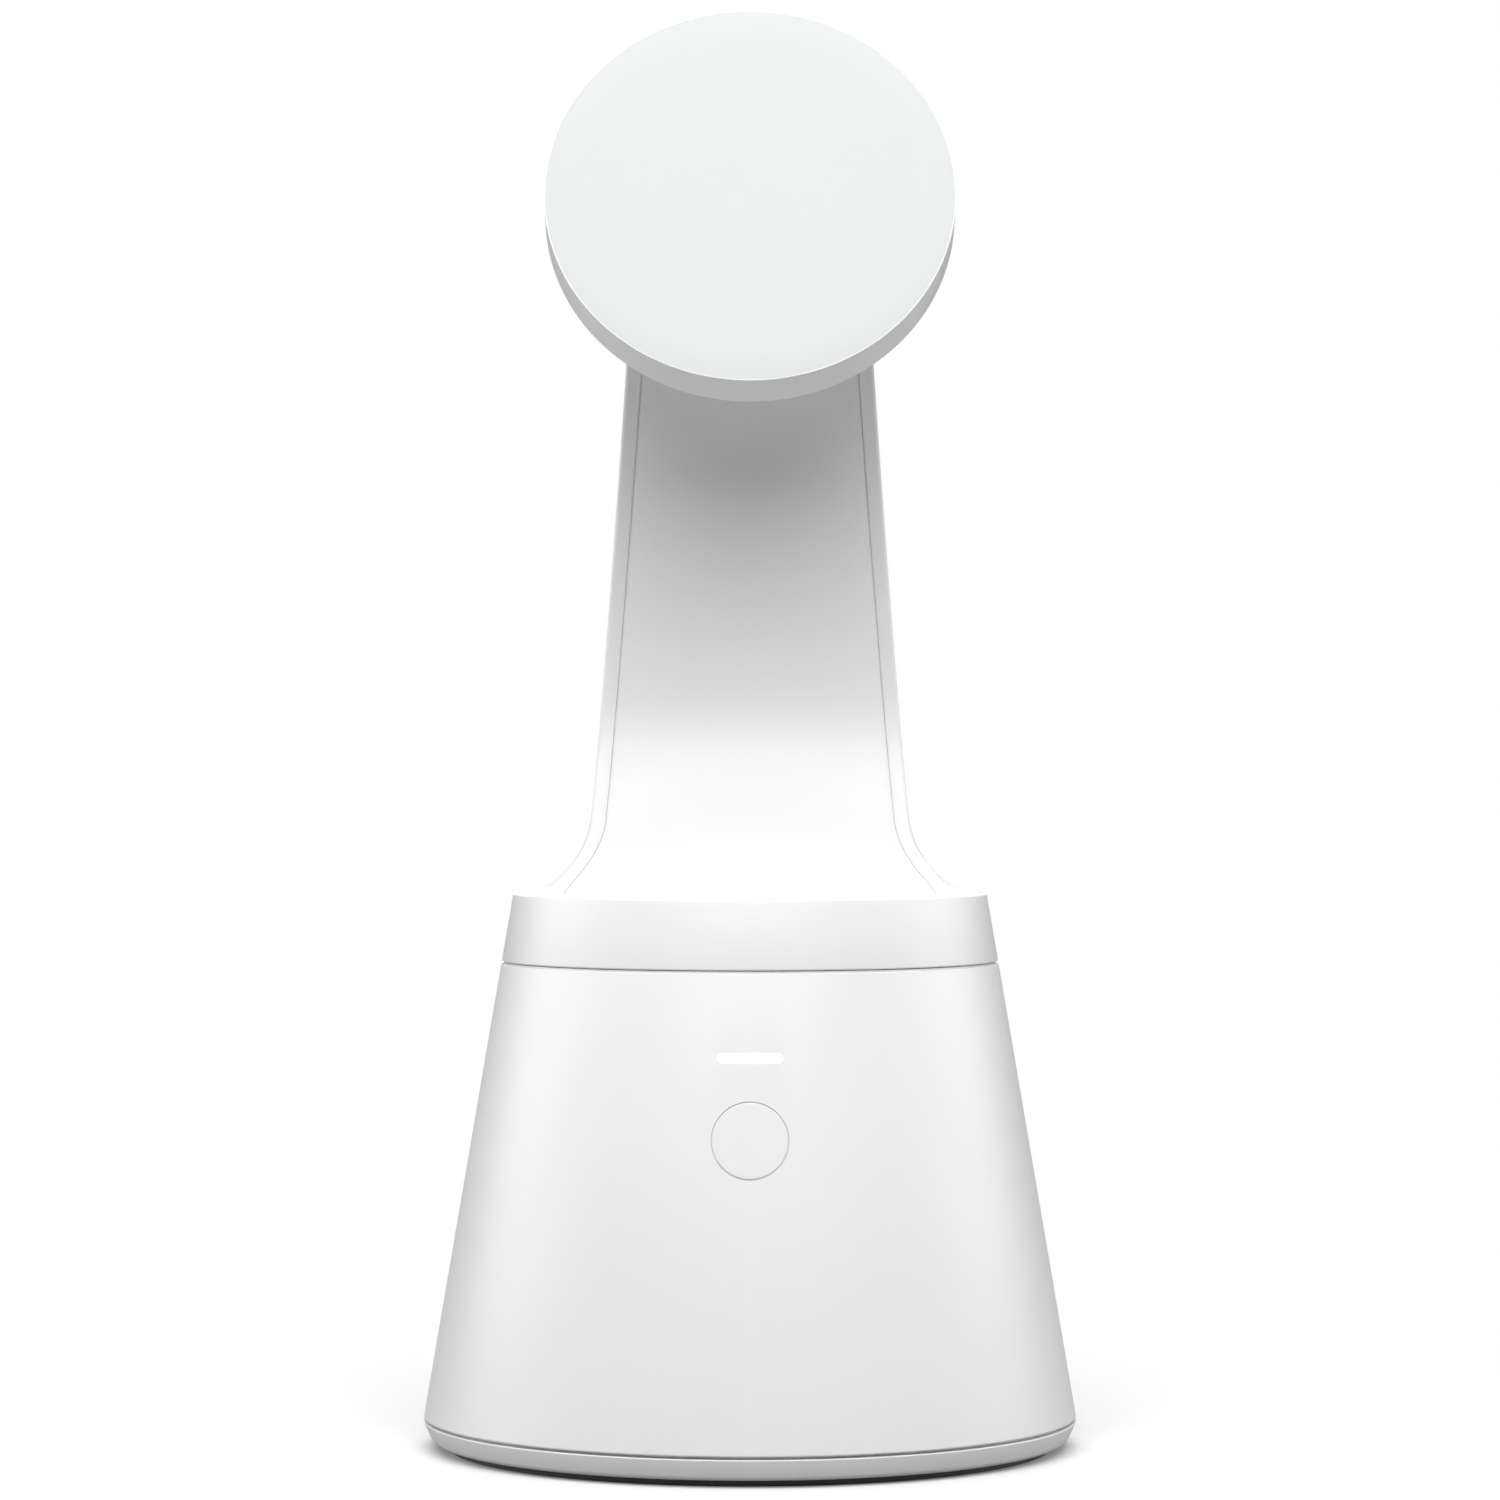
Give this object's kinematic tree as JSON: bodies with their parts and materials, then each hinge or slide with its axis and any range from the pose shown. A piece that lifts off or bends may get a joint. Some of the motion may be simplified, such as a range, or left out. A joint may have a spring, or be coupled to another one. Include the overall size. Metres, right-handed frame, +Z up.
{
  "type": "motorised magnetic phone mount",
  "caption": "White desktop phone mount: cone-shaped base with a button and light bar, a turning turret, a curved arm and a tilting magnetic disc.",
  "frame": {"origin": "on the table, under the middle of the base", "axes": "+Z up, along the turning axis and the object's longest side; +Y out of the back, where the power socket opens; the button and the disc's face look towards -Y"},
  "size_m": [0.0936, 0.0936, 0.2041],
  "materials": {
    "casing": "satin white moulded plastic",
    "casing_inner": "plain white moulded plastic",
    "silicone": "soft matt silicone, pale cool white",
    "foot_rubber": "matt dark grey rubber",
    "button_cap": "satin white plastic",
    "light_lens": "frosted white light guide",
    "dark_plastic": "black moulded plastic",
    "gear_plastic": "natural acetal",
    "steel": "plain zinc-plated steel",
    "bearing_steel": "polished bearing steel",
    "cast_alloy": "die-cast aluminium",
    "magnet": "nickel-plated magnet",
    "brass": "turned brass",
    "bronze": "sintered bronze",
    "copper": "enamelled copper winding",
    "board_green": "green solder mask",
    "chip_black": "moulded black parts",
    "cell_wrap": "plain shrink sleeve, no print",
    "lead_jacket": "red lead insulation",
    "flat_cable": "polyimide film",
    "led_body": "white diode with yellow phosphor"
  },
  "bodies": {
    "base": {"base_shell": "casing", "bottom_plate": "casing", "foot_ring": "foot_rubber", "ballast_plate": "steel", "battery_box": "dark_plastic", "battery_1": "cell_wrap", "battery_2": "cell_wrap", "battery_3": "cell_wrap", "battery_springs": "steel", "battery_plates": "steel", "chassis": "casing_inner", "motor_can": "steel", "motor_windings": "copper", "idler_axle": "steel", "main_board": "board_green", "board_parts": "chip_black", "radio_module": "steel", "front_board": "board_green", "tact_switch": "chip_black", "status_leds": "led_body", "light_bar": "light_lens", "power_inlet": "dark_plastic", "bearing_outer_ring": "bearing_steel", "bearing_balls": "bearing_steel", "bearing_cage": "gear_plastic", "sensor_board": "board_green", "internal_leads": "lead_jacket", "ribbon_cable": "flat_cable", "board_spacers": "brass", "base_screws": "steel", "ballast_screws": "steel", "board_screws": "steel", "chassis_screws": "steel", "motor_screws": "steel"},
    "turret": {"turret_shell": "casing", "arm_front_panel": "casing", "arm_spine": "cast_alloy", "turret_hub": "casing_inner", "main_gear": "gear_plastic", "retaining_ring": "steel", "bearing_inner_ring": "bearing_steel", "sensor_magnet": "magnet", "hinge_bushes": "bronze", "hinge_washers": "steel", "turret_screws": "steel", "spine_screws": "steel"},
    "head": {"face_pad": "silicone", "head_housing": "casing", "magnet_ring": "magnet", "backing_yoke": "steel", "magnet_carrier": "casing_inner", "head_bracket": "cast_alloy", "hinge_pin": "steel", "head_screws": "steel"},
    "button": {"power_button": "button_cap", "switch_plunger": "chip_black"},
    "battery_door": {"battery_door": "casing"},
    "motor_rotor": {"motor_rotor": "steel", "pinion_gear": "brass"},
    "idler_gear": {"idler_gear": "gear_plastic"}
  },
  "joints": [
    {"name": "turret_pan", "type": "hinge", "parent": "base", "child": "turret", "pos_m": [0, 0, 0.0656], "axis": [0, 0, 1], "continuous": true},
    {"name": "idler_spin", "type": "hinge", "parent": "base", "child": "idler_gear", "pos_m": [0.01035, 0.01653, 0.055], "axis": [0, 0, 1], "continuous": true},
    {"name": "motor_spin", "type": "hinge", "parent": "base", "child": "motor_rotor", "pos_m": [0.01409, 0.00513, 0.045], "axis": [0, 0, 1], "continuous": true},
    {"name": "head_tilt", "type": "hinge", "parent": "turret", "child": "head", "pos_m": [0, -0.009, 0.1724], "axis": [1, 0, 0], "range_deg": [-15, 30]},
    {"name": "button_press", "type": "slide", "parent": "base", "child": "button", "axis": [0, 0.9851, -0.1719], "range_m": [0, 0.0005], "stiffness_N_per_m": 800, "springref_m": -0.0005},
    {"name": "battery_door_lift", "type": "slide", "parent": "base", "child": "battery_door", "axis": [0, 0, -1], "range_m": [0, 0.03]}
  ],
  "couplings": [
    {"joint": "idler_spin", "follows": "turret_pan", "ratio": -5.5},
    {"joint": "motor_spin", "follows": "turret_pan", "ratio": 16.5}
  ]
}
